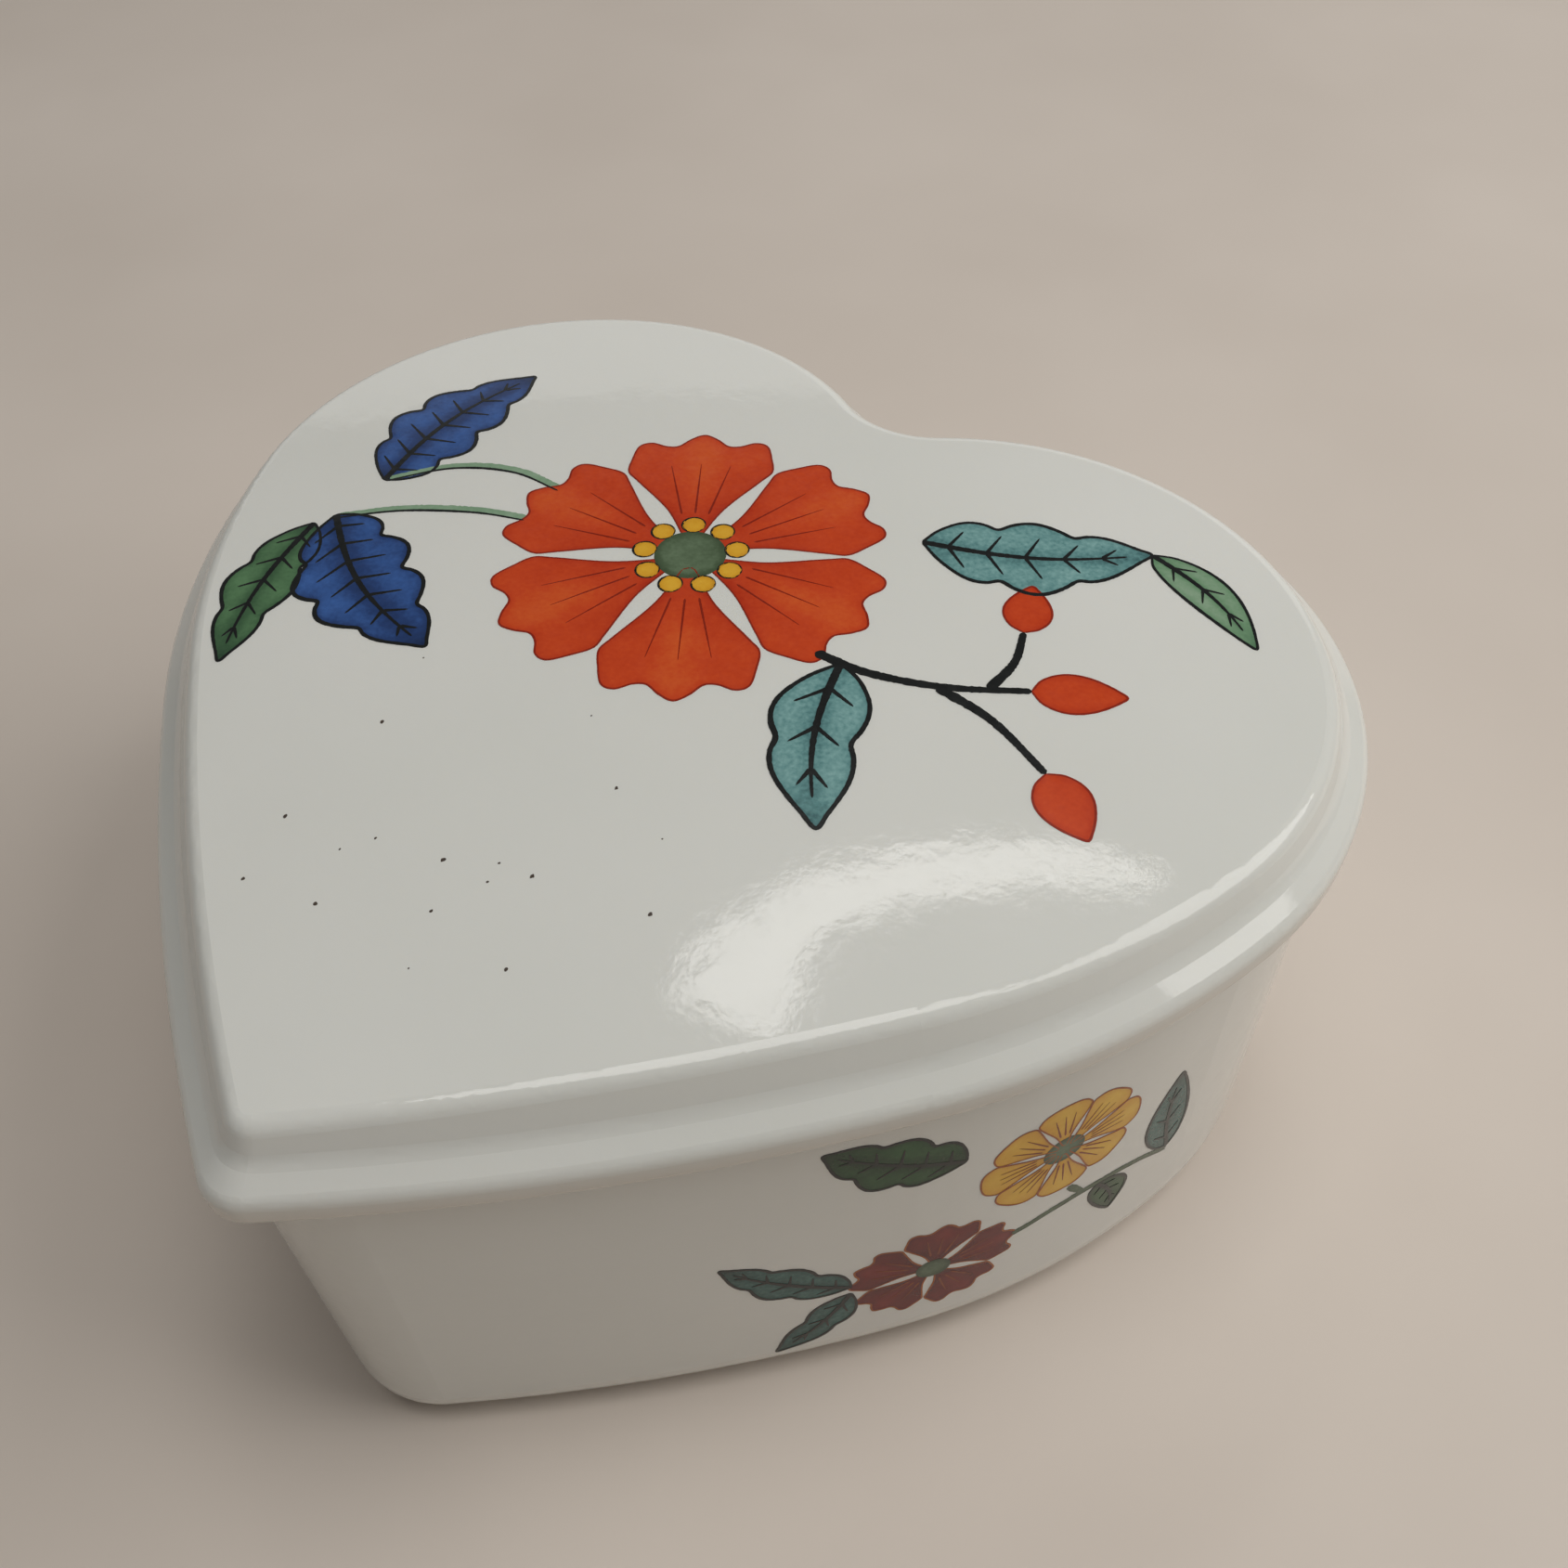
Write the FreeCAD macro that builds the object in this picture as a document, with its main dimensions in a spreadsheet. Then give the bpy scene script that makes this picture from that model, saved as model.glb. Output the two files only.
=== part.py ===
"""Heart-shaped porcelain trinket box: a hollow base and a lift-off lid with a locating lip.

Everything is in millimetres. +Z is up and the box stands on Z = 0, with the origin under the middle of
the lid's outline. The point of the heart faces -Y, and the heart is symmetrical about the YZ plane.

Every outline of the box is the same closed chain of eight tangent arcs: the point, two long sides, two
shoulders, two lobes and the cleft between the lobes. An outline that lies further in has the same
centres, with radii that are smaller by its inset, and a point radius of its own.
"""

import FreeCAD, Part
import math
import os

import Sketcher
from FreeCAD import Vector

# Name, value and meaning. Lengths are in millimetres, and angles in degrees. An inset is measured from
# the outer edge of the lid.
DIMENSIONS = [
    ("lobe_offset", "17.4", "distance of a lobe's centre from the middle of the heart"),
    ("lobe_radius", "27.6", "radius of a lobe"),
    ("shoulder_radius", "57", "radius of the outline below a lobe"),
    ("side_radius", "174", "radius of the long sides that run to the point"),
    ("cleft_radius", "4.4", "radius of the cleft between the lobes"),
    ("shoulder_start", "17.8", "angle below level at which a lobe turns into its shoulder"),
    ("side_start", "42.6", "angle below level at which a shoulder turns into its side"),
    ("base_height", "37", "height of the base, on which the lid rests"),
    ("base_inset", "1.4", "inset of the base's wall at its upper edge"),
    ("base_point", "8.5", "point radius of the base"),
    ("base_lean", "1.2", "angle by which the walls lean outwards on their way up"),
    ("base_corner", "5.2", "rounding between the wall and the underside"),
    ("brim_round", "0.6", "rounding of the base's upper edges"),
    ("foot_inset", "10.4", "inset of the shallow recess that leaves a flat foot"),
    ("foot_point", "3", "point radius of the recess"),
    ("foot_recess", "0.8", "depth of the recess"),
    ("foot_round", "0.35", "rounding inside the recess"),
    ("wall", "3", "thickness of the base's wall at its upper edge"),
    ("cavity_point", "6.5", "point radius of the inside"),
    ("floor_height", "4.4", "height of the inside floor"),
    ("floor_corner", "3", "rounding between the inside wall and the floor"),
    ("rim_point", "3.1", "point radius of the lid's rim"),
    ("rim_side", "2.2", "height of the rim's upright side"),
    ("rim_slope", "36", "angle to the level at which the rim rises from its side towards the panel"),
    ("rim_roll", "1.2", "rounding between the rim's side and its slope"),
    ("rim_edge", "0.6", "rounding of the rim's lower edge"),
    ("slope_inset", "3.7", "inset of the slope's upper end, which is buried in the panel"),
    ("slope_point", "0.8", "point radius of the slope's upper end"),
    ("panel_inset", "1.3", "inset of the raised panel's leaning side, at the height of the rim's shoulder"),
    ("panel_point", "2.6", "point radius of the panel at that height"),
    ("panel_lean", "24", "angle by which the panel's side leans inwards on its way up"),
    ("panel_rise", "6.2", "height of the panel's side above the shoulder, before the dome is cut"),
    ("panel_tip", "1.3", "point radius of the panel at the top of its uncut side"),
    ("panel_edge", "1.3", "rounding of the panel's edge"),
    ("panel_cove", "2", "hollow rounding at the foot of the panel"),
    ("crown", "44.6", "height of the top of the domed panel"),
    ("dome_radius", "500", "radius of the dome"),
    ("dome_back", "4", "distance of the dome's top behind the origin"),
    ("lid_thickness", "3", "thickness of the lid under the dome"),
    ("lip_gap", "0.5", "play between the lid's lip and the base's wall"),
    ("lip_depth", "3.6", "depth to which the lip reaches into the base"),
    ("lip_width", "2.3", "thickness of the lip"),
    ("lip_round", "0.7", "rounding of the lip's lower edges"),
    ("hollow_corner", "1.6", "rounding between the lip's inner face and the lid's ceiling"),
    ("overrun", "4", "how far a cutter reaches past the faces that it cuts"),
    # What follows from the values above.
    ("shoulder_rise", "=(shoulder_radius - lobe_radius) * sin(shoulder_start)", "lobe to shoulder, in Y"),
    ("shoulder_reach", "=(shoulder_radius - lobe_radius) * cos(shoulder_start)", "lobe to shoulder, in X"),
    ("side_rise", "=(side_radius - shoulder_radius) * sin(side_start)", "shoulder to side, in Y"),
    ("side_reach", "=(side_radius - shoulder_radius) * cos(side_start)", "shoulder to side, in X"),
    ("side_across", "=shoulder_reach + side_reach - lobe_offset", "middle to a side's centre, in X"),
    ("point_drop", "=sqrt((side_radius - rim_point)^2 - side_across^2)", "side's to point's centre, in Y"),
    ("lobe_line", "=(point_drop + rim_point - side_rise - shoulder_rise - lobe_radius) / 2",
     "Y of the lobes' centres, which centres the rim's outline on the origin"),
    ("cavity_inset", "=base_inset + wall", "inset of the inside wall at its upper edge"),
    ("lip_inset", "=cavity_inset + lip_gap", "inset of the lip's outer face"),
    ("hollow_inset", "=lip_inset + lip_width", "inset of the lip's inner face"),
    ("rim_shoulder", "=base_height + rim_side", "height at which the rim's slope starts"),
    ("slope_top", "=rim_shoulder + slope_inset * tan(rim_slope)", "height of the slope's upper end"),
    ("panel_top", "=rim_shoulder + panel_rise", "height of the top of the panel's uncut side"),
    ("panel_top_inset", "=panel_inset + panel_rise * tan(panel_lean)", "inset of that top"),
    ("foot_rise", "=panel_inset / (1 / tan(rim_slope) - tan(panel_lean))", "shoulder to the panel's foot"),
    ("lip_bottom", "=base_height - lip_depth", "height of the lip's lower face"),
    ("ceiling", "=crown - lid_thickness", "height of the top of the lid's hollow"),
]
SAME_HEIGHT = 1e-4  # how near to a height an edge has to lie to count as lying at it

doc = FreeCAD.newDocument("heart_box")
sheet = doc.addObject("Spreadsheet::Sheet", "dims")
for row, (alias, value, meaning) in enumerate(DIMENSIONS, start=1):
    sheet.set(f"A{row}", alias)
    sheet.set(f"B{row}", value)
    sheet.set(f"C{row}", meaning)
    sheet.setAlias(f"B{row}", alias)
doc.recompute()


def size(name):
    """The value of a dimension as a plain number."""
    return float(sheet.get(name))


def origin_feature(body, role):
    """One of a body's own origin planes or axes."""
    return next(feature for feature in body.Origin.OriginFeatures if feature.Role == role)


def new_body(label):
    """An empty body whose name and label are the same."""
    body = doc.addObject("PartDesign::Body", label)
    body.Label = label
    body.Placement = FreeCAD.Placement()
    return body


def new_sketch(body, name, role, offset=None):
    """A sketch on one of the body's origin planes, moved along the plane's normal by an expression."""
    sketch = body.newObject("Sketcher::SketchObject", name)
    sketch.AttachmentSupport = [(origin_feature(body, role), "")]
    sketch.MapMode = "FlatFace"
    if offset:
        sketch.setExpression("AttachmentOffset.Base.z", offset)
    return sketch


def bind(sketch, constraint, name, expression):
    """Adds a dimension to a sketch and ties it to the sheet."""
    index = sketch.addConstraint(constraint)
    sketch.renameConstraint(index, name)
    sketch.setExpression(f"Constraints.{name}", expression)


def heart(body, name, height, inset, point):
    """A heart outline at a height, both expressions, with its inset and point radius from the sheet."""
    sketch = new_sketch(body, name, "XY_Plane", height)
    depth, tip = (size(inset) if inset else 0.0), size(point)
    lobe_y = size("lobe_line")
    radius = {part: size(part + "_radius") - depth for part in ("side", "shoulder", "lobe")}
    radius["point"], radius["cleft"] = tip, size("cleft_radius") + depth

    centre = {"lobe": Vector(size("lobe_offset"), lobe_y, 0)}
    centre["shoulder"] = centre["lobe"] + Vector(-size("shoulder_reach"), size("shoulder_rise"), 0)
    centre["side"] = centre["shoulder"] + Vector(-size("side_reach"), size("side_rise"), 0)
    drop = math.sqrt((radius["side"] - tip) ** 2 - centre["side"].x ** 2)
    centre["point"] = Vector(0, centre["side"].y - drop, 0)
    climb = math.sqrt((radius["lobe"] + radius["cleft"]) ** 2 - centre["lobe"].x ** 2)
    centre["cleft"] = Vector(0, lobe_y + climb, 0)

    at_point = math.atan2(-drop, -centre["side"].x)
    at_side = -math.radians(size("side_start"))
    at_shoulder = -math.radians(size("shoulder_start"))
    at_cleft = math.atan2(climb, -centre["lobe"].x)

    def arc(part, start, end, left=False):
        middle = Vector(centre[part])
        if left:
            middle.x = -middle.x
            start, end = math.pi - end, math.pi - start
        circle = Part.Circle(middle, Vector(0, 0, 1), radius[part])
        return sketch.addGeometry(Part.ArcOfCircle(circle, start, end), False)

    tip_arc = arc("point", -math.pi - at_point, at_point)
    side = arc("side", at_point, at_side)
    shoulder = arc("shoulder", at_side, at_shoulder)
    lobe = arc("lobe", at_shoulder, at_cleft)
    cleft = arc("cleft", -at_cleft, at_cleft - math.pi)
    lobe_left = arc("lobe", at_shoulder, at_cleft, left=True)
    shoulder_left = arc("shoulder", at_side, at_shoulder, left=True)
    side_left = arc("side", at_point, at_side, left=True)

    begin, end, middle = 1, 2, 3
    joints = [(tip_arc, end, side, begin), (side, end, shoulder, begin), (shoulder, end, lobe, begin),
              (lobe, end, cleft, end), (cleft, begin, lobe_left, begin),
              (lobe_left, end, shoulder_left, begin), (shoulder_left, end, side_left, begin),
              (side_left, end, tip_arc, begin)]
    for first, first_end, second, second_end in joints:
        sketch.addConstraint(Sketcher.Constraint("Tangent", first, first_end, second, second_end))
    for right, left in ((lobe, lobe_left), (shoulder, shoulder_left), (side, side_left)):
        sketch.addConstraint(Sketcher.Constraint("Equal", right, left))
    sketch.addConstraint(Sketcher.Constraint("PointOnObject", tip_arc, middle, -2))
    sketch.addConstraint(Sketcher.Constraint("PointOnObject", cleft, middle, -2))
    sketch.addConstraint(Sketcher.Constraint("Horizontal", lobe_left, middle, lobe, middle))
    sketch.addConstraint(Sketcher.Constraint("Horizontal", shoulder_left, middle, shoulder, middle))

    less = f" - dims.{inset}" if inset else ""
    more = f" + dims.{inset}" if inset else ""
    for part, index, change in (("lobe", lobe, less), ("shoulder", shoulder, less), ("side", side, less),
                                ("cleft", cleft, more)):
        rule = Sketcher.Constraint("Radius", index, radius[part])
        bind(sketch, rule, part + "_radius", f"dims.{part}_radius{change}")
    bind(sketch, Sketcher.Constraint("Radius", tip_arc, tip), "point_radius", f"dims.{point}")
    rule = Sketcher.Constraint("DistanceX", -1, 1, lobe, middle, centre["lobe"].x)
    bind(sketch, rule, "lobe_offset", "dims.lobe_offset")
    rule = Sketcher.Constraint("DistanceY", -1, 1, lobe, middle, lobe_y)
    bind(sketch, rule, "lobe_line", "dims.lobe_line")
    rule = Sketcher.Constraint("DistanceY", lobe, middle, shoulder, middle, size("shoulder_rise"))
    bind(sketch, rule, "shoulder_rise", "dims.shoulder_rise")
    rule = Sketcher.Constraint("DistanceY", shoulder, middle, side, middle, size("side_rise"))
    bind(sketch, rule, "side_rise", "dims.side_rise")
    doc.recompute()
    if sketch.solve() != 0:
        raise RuntimeError(f"{name} doesn't solve")
    return sketch


def volume(body):
    """The volume of a body's shape so far, in cubic millimetres."""
    return body.Shape.Volume if not body.Shape.isNull() else 0.0


def pad(body, name, sketch, length, down=False):
    """Adds material to a body from a sketch, upwards or downwards, by an expression."""
    before = volume(body)
    feature = body.newObject("PartDesign::Pad", name)
    feature.Profile = sketch
    feature.Reversed = down
    feature.setExpression("Length", length)
    doc.recompute()
    if volume(body) <= before:
        raise RuntimeError(f"{name} adds nothing")
    return feature


def must_cut(body, before, name):
    """Stops the build if a cutting feature missed the body or emptied it."""
    if not 0 < volume(body) < before:
        raise RuntimeError(f"{name} cuts nothing")


def pocket(body, name, sketch, length, up):
    """Takes material out of a body from a sketch, upwards or downwards, by an expression."""
    before = volume(body)
    feature = body.newObject("PartDesign::Pocket", name)
    feature.Profile = sketch
    feature.Reversed = up
    feature.setExpression("Length", length)
    doc.recompute()
    must_cut(body, before, name)
    return feature


def cut_with(body, name, tool):
    """Takes another body's shape out of this one."""
    before = volume(body)
    feature = body.newObject("PartDesign::Boolean", name)
    feature.setObjects([tool])
    feature.Type = "Cut"
    doc.recompute()
    must_cut(body, before, name)
    return feature


def edges_at(shape, height):
    """Names of the edges that lie level at a height."""
    names = []
    for index, edge in enumerate(shape.Edges, start=1):
        box = edge.BoundBox
        if abs(box.ZMin - height) < SAME_HEIGHT and abs(box.ZMax - height) < SAME_HEIGHT:
            names.append(f"Edge{index}")
    return names


def edges_round_dome(shape):
    """Names of the edges in which a spherical dome meets the sides under it."""
    domes = [face for face in shape.Faces if isinstance(face.Surface, Part.Sphere)]
    dome_edges = [edge for face in domes for edge in face.Edges]
    return [f"Edge{index}" for index, edge in enumerate(shape.Edges, start=1)
            if any(edge.isSame(other) for other in dome_edges)]


def edges_between(shape, low, high):
    """Names of the edges that lie wholly between two heights."""
    return [f"Edge{index}" for index, edge in enumerate(shape.Edges, start=1)
            if low < edge.BoundBox.ZMin and edge.BoundBox.ZMax < high]


def loft(body, name, lower, upper):
    """Adds straight-sided material between two outlines."""
    before = volume(body)
    feature = body.newObject("PartDesign::AdditiveLoft", name)
    feature.Profile = lower
    feature.Sections = [upper]
    feature.Ruled = True
    doc.recompute()
    if volume(body) <= before:
        raise RuntimeError(f"{name} adds nothing")
    return feature


def fillet(body, name, names, radius):
    """Rounds the named edges of a body's shape, by an expression for the radius."""
    if not names:
        raise RuntimeError(f"{name} has no edges to round")
    solid = body.Tip
    feature = body.newObject("PartDesign::Fillet", name)
    feature.Base = (solid, names)
    feature.setExpression("Radius", radius)
    doc.recompute()
    return feature


def lean(body, name, height):
    """Leans every upright face inwards below the level at which its outline is true to size."""
    shape = body.Shape
    upright = [f"Face{index}" for index, face in enumerate(shape.Faces, start=1)
               if face.BoundBox.ZLength > SAME_HEIGHT]
    level = next(f"Face{index}" for index, face in enumerate(shape.Faces, start=1)
                 if face.BoundBox.ZLength < SAME_HEIGHT and abs(face.BoundBox.ZMin - height) < SAME_HEIGHT)
    before = volume(body)
    solid = body.Tip
    feature = body.newObject("PartDesign::Draft", name)
    feature.Base = (solid, upright)
    feature.NeutralPlane = (solid, [level])
    feature.Reversed = True
    feature.setExpression("Angle", "dims.base_lean")
    doc.recompute()
    if not 0 < volume(body) < before:
        raise RuntimeError(f"{name} leans the wrong way")
    return feature


def dome(body, name, top, radius):
    """Shapes the top of a body to a sphere: turns a profile that lies above the sphere's arc."""
    before = volume(body)
    sketch = new_sketch(body, name + "_profile", "XZ_Plane", "-dims.dome_back")
    reach, high = 60.0, 30.0
    crown, ball = size("crown"), size("dome_radius")
    drop = ball - math.sqrt(ball**2 - reach**2)
    circle = Part.Circle(Vector(0, crown - ball, 0), Vector(0, 0, 1), ball)
    at_edge = math.acos(reach / ball)
    arc = sketch.addGeometry(Part.ArcOfCircle(circle, at_edge, math.pi / 2), False)
    corner = [Vector(reach, crown - drop, 0), Vector(reach, crown + high, 0), Vector(0, crown + high, 0),
              Vector(0, crown, 0)]
    lines = [sketch.addGeometry(Part.LineSegment(a, b), False) for a, b in zip(corner, corner[1:])]
    begin, end, middle = 1, 2, 3
    joints = [(arc, begin, lines[0], begin), (lines[0], end, lines[1], begin),
              (lines[1], end, lines[2], begin), (lines[2], end, arc, end)]
    for first, first_end, second, second_end in joints:
        sketch.addConstraint(Sketcher.Constraint("Coincident", first, first_end, second, second_end))
    sketch.addConstraint(Sketcher.Constraint("Vertical", lines[0]))
    sketch.addConstraint(Sketcher.Constraint("Horizontal", lines[1]))
    sketch.addConstraint(Sketcher.Constraint("PointOnObject", lines[2], begin, -2))
    sketch.addConstraint(Sketcher.Constraint("PointOnObject", lines[2], end, -2))
    sketch.addConstraint(Sketcher.Constraint("PointOnObject", arc, middle, -2))
    sketch.addConstraint(Sketcher.Constraint("DistanceX", -1, 1, lines[0], begin, reach))
    sketch.addConstraint(Sketcher.Constraint("DistanceY", lines[2], end, lines[2], begin, high))
    bind(sketch, Sketcher.Constraint("Radius", arc, ball), "dome_radius", radius)
    bind(sketch, Sketcher.Constraint("DistanceY", -1, 1, arc, end, crown), "top", top)
    doc.recompute()
    feature = body.newObject("PartDesign::Groove", name)
    feature.Profile = sketch
    feature.ReferenceAxis = (sketch, ["V_Axis"])
    feature.Angle = 360
    doc.recompute()
    must_cut(body, before, name)
    return feature


# The inside of the base, as a solid that is then taken out of it.
cavity = new_body("cavity")
outline = heart(cavity, "cavity_outline", "dims.base_height", "cavity_inset", "cavity_point")
pad(cavity, "cavity_depth", outline, "dims.base_height - dims.floor_height", down=True)
lean(cavity, "cavity_lean", size("base_height"))
fillet(cavity, "cavity_corner", edges_at(cavity.Shape, size("floor_height")), "dims.floor_corner")

# The base: walls that lean outwards, a rounded lower corner and a flat foot round a shallow recess.
base = new_body("box_base")
outline = heart(base, "base_outline", "dims.base_height", "base_inset", "base_point")
pad(base, "base_walls", outline, "dims.base_height", down=True)
lean(base, "base_walls_lean", size("base_height"))
fillet(base, "base_lower_corner", edges_at(base.Shape, 0.0), "dims.base_corner")
outline = heart(base, "foot_outline", None, "foot_inset", "foot_point")
pocket(base, "foot_hollow", outline, "dims.foot_recess", up=True)
fillet(base, "foot_corner", edges_at(base.Shape, size("foot_recess")), "dims.foot_round")
cut_with(base, "base_cavity", cavity)
fillet(base, "base_brim", edges_at(base.Shape, size("base_height")), "dims.brim_round")

# The inside of the lid, as a solid that is then taken out of it: a heart under a dome of its own.
hollow = new_body("hollow")
outline = heart(hollow, "hollow_outline", "dims.lip_bottom - dims.overrun", "hollow_inset", "cavity_point")
pad(hollow, "hollow_depth", outline, "dims.ceiling - dims.lip_bottom + 2 * dims.overrun")
dome(hollow, "hollow_dome", "dims.ceiling", "dims.dome_radius - dims.lid_thickness")
fillet(hollow, "hollow_corner", edges_round_dome(hollow.Shape), "dims.hollow_corner")

# The lid: a rim that slopes up to a domed panel raised on it, and a lip that drops into the base.
lid = new_body("lid")
outline = heart(lid, "rim_outline", "dims.base_height", None, "rim_point")
pad(lid, "rim", outline, "dims.rim_side")
lower = heart(lid, "slope_start", "dims.rim_shoulder", None, "rim_point")
upper = heart(lid, "slope_end", "dims.slope_top", "slope_inset", "slope_point")
loft(lid, "rim_slope", lower, upper)
fillet(lid, "rim_roll", edges_at(lid.Shape, size("rim_shoulder")), "dims.rim_roll")
fillet(lid, "rim_lower_edge", edges_at(lid.Shape, size("base_height")), "dims.rim_edge")
lower = heart(lid, "panel_start", "dims.rim_shoulder", "panel_inset", "panel_point")
upper = heart(lid, "panel_end", "dims.panel_top", "panel_top_inset", "panel_tip")
loft(lid, "panel", lower, upper)
dome(lid, "panel_dome", "dims.crown", "dims.dome_radius")
foot = size("rim_shoulder") + size("foot_rise")
fillet(lid, "panel_foot", edges_between(lid.Shape, foot - 0.8, foot + 0.8), "dims.panel_cove")
fillet(lid, "panel_rounded_edge", edges_round_dome(lid.Shape), "dims.panel_edge")
outline = heart(lid, "lip_outline", "dims.base_height", "lip_inset", "cavity_point")
pad(lid, "lip", outline, "dims.lip_depth", down=True)
cut_with(lid, "lid_hollow", hollow)
fillet(lid, "lip_rounded_edges", edges_at(lid.Shape, size("lip_bottom")), "dims.lip_round")

doc.recompute()
for item in doc.Objects:
    if {"Invalid", "Error"} & set(item.State):
        raise RuntimeError(f"{item.Name} is {item.State}")
os.makedirs("parts", exist_ok=True)
for piece in (base, lid):
    shape = piece.Shape
    if shape.isNull() or not shape.isValid() or len(shape.Solids) != 1:
        raise RuntimeError(f"{piece.Label} isn't one valid solid")
    shape.exportStep(f"parts/{piece.Label}.step")
    box = shape.optimalBoundingBox(True, False)
    print(f"{piece.Label}: {shape.Volume / 1000:.2f} cm3, X {box.XMin:.2f} to {box.XMax:.2f},"
          f" Y {box.YMin:.2f} to {box.YMax:.2f}, Z {box.ZMin:.2f} to {box.ZMax:.2f}")
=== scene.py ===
"""Looks of the heart-shaped porcelain trinket box: glaze, enamel flowers, floor, lights and camera."""

import math

import bpy
import numpy as np
from mathutils import Matrix, Vector
from mathutils.bvhtree import BVHTree
from mathutils.geometry import delaunay_2d_cdt
from mathutils.interpolate import poly_3d_calc


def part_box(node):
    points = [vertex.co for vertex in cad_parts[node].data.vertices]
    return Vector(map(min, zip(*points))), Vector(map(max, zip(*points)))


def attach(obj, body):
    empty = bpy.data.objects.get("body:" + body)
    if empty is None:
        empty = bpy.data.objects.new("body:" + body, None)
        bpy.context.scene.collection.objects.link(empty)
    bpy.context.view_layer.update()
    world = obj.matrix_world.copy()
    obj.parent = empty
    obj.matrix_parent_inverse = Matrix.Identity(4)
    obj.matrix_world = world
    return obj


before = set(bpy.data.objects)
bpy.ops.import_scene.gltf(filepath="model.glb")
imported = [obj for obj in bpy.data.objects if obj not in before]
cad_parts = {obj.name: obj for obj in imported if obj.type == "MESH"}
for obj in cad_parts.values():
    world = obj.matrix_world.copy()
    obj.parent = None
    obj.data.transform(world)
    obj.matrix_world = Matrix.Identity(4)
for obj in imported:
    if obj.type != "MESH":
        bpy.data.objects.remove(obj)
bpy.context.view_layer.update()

MM = 0.001
LID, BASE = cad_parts["lid"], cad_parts["box_base"]
BASE_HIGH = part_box("box_base")[1]


# ---------------------------------------------------------------- surfaces that the enamel lies on

OVER_LID = 0.2  # metres, a height above the whole box
OFF_WALL = 0.02  # metres, a start outside the wall for a ray that goes straight in
OUTSIDE = 0.1  # metres, a distance from the middle that is outside the whole box
OUTLINE_BACK, OUTLINE_UP = 0.3, 0.9  # where the wall's outline is taken, as parts of its highest Y and Z
HALF_ROUND = 170  # millimetres from the painted spray on one side of the base to the one on the other


class Surface:
    """A CAD node's skin, which rays can be dropped on, with its smooth normals."""

    def __init__(self, node):
        self.mesh = node.data
        self.points = [v.co.copy() for v in self.mesh.vertices]
        self.polygons = [tuple(p.vertices) for p in self.mesh.polygons]
        self.loops = [tuple(p.loop_indices) for p in self.mesh.polygons]
        self.normals = [n.vector.copy() for n in self.mesh.corner_normals]
        self.tree = BVHTree.FromPolygons(self.points, self.polygons)

    def meet(self, start, direction):
        """Where a ray first meets the skin, and the smooth normal there."""
        place, _, index, _ = self.tree.ray_cast(start, direction)
        corners = [self.points[i] for i in self.polygons[index]]
        weights = poly_3d_calc(corners, place)
        normal = sum((self.normals[loop] * w for loop, w in zip(self.loops[index], weights)), Vector())
        return place, normal.normalized()


LID_SKIN, BASE_SKIN = Surface(LID), Surface(BASE)


def on_lid(x, y):
    """The lid's surface under a point of its plan, in millimetres from the middle: place and normal."""
    return LID_SKIN.meet(Vector((x * MM, y * MM, OVER_LID)), Vector((0, 0, -1)))


def wall_path():
    """The base's outline near its top, from the heart's point round by +X, with its length so far."""
    middle = Vector((0, OUTLINE_BACK * BASE_HIGH.y, OUTLINE_UP * BASE_HIGH.z))
    points = []
    for degrees in np.arange(-90.0, 270.1, 0.5):
        out = Vector((math.cos(math.radians(degrees)), math.sin(math.radians(degrees)), 0))
        points.append(BASE_SKIN.meet(middle + out * OUTSIDE, -out)[0].to_2d() / MM)
    steps = [0.0] + [(b - a).length for a, b in zip(points, points[1:])]
    return np.array([tuple(p) for p in points]), np.cumsum(steps)


WALL_POINTS, WALL_LENGTHS = wall_path()


def on_wall(along, up):
    """The outside of the base's wall, by its distance round from the point and its height."""
    def at(length):
        length = length % WALL_LENGTHS[-1]
        return np.array([np.interp(length, WALL_LENGTHS, WALL_POINTS[:, k]) for k in (0, 1)])

    here = at(along)
    run = Vector(at(along + 1) - at(along - 1)).normalized()
    out = Vector((run.y, -run.x, 0))
    return BASE_SKIN.meet(Vector((here[0] * MM, here[1] * MM, up * MM)) + out * OFF_WALL, -out)


# ---------------------------------------------------------------- curves in the plan of a surface

LONGEST_TANGENT = 1.6  # times the gap between two points, so that a curve makes no loop at a short gap


def smooth(points, closed=False, step=0.2):
    """A Catmull-Rom curve through the points, with about one new point every step."""
    points = np.array(points, float)
    n = len(points)
    if n == 2 and not closed:
        k = max(1, round(np.hypot(*(points[1] - points[0])) / step))
        t = np.linspace(0, 1, k + 1)[:, None]
        return points[0] * (1 - t) + points[1] * t
    if closed:
        before, after = np.roll(points, 1, 0), np.roll(points, -1, 0)
        tangent = (after - before) / 2
        pairs = [(i, (i + 1) % n) for i in range(n)]
    else:
        tangent = np.empty_like(points)
        tangent[1:-1] = (points[2:] - points[:-2]) / 2
        tangent[0], tangent[-1] = points[1] - points[0], points[-1] - points[-2]
        pairs = [(i, i + 1) for i in range(n - 1)]
    out = []
    for i, j in pairs:
        gap = np.hypot(*(points[j] - points[i]))
        k = max(1, round(gap / step))
        t = (np.arange(k) / k)[:, None]
        a, b = tangent[i], tangent[j]
        longest = max(np.hypot(*a), np.hypot(*b), 1e-9)
        scale = min(1.0, LONGEST_TANGENT * gap / longest)
        a, b = a * scale, b * scale
        out.append((2 * t**3 - 3 * t**2 + 1) * points[i] + (t**3 - 2 * t**2 + t) * a
                   + (-2 * t**3 + 3 * t**2) * points[j] + (t**3 - t**2) * b)
    if not closed:
        out.append(points[-1:])
    return np.concatenate(out)


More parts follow.
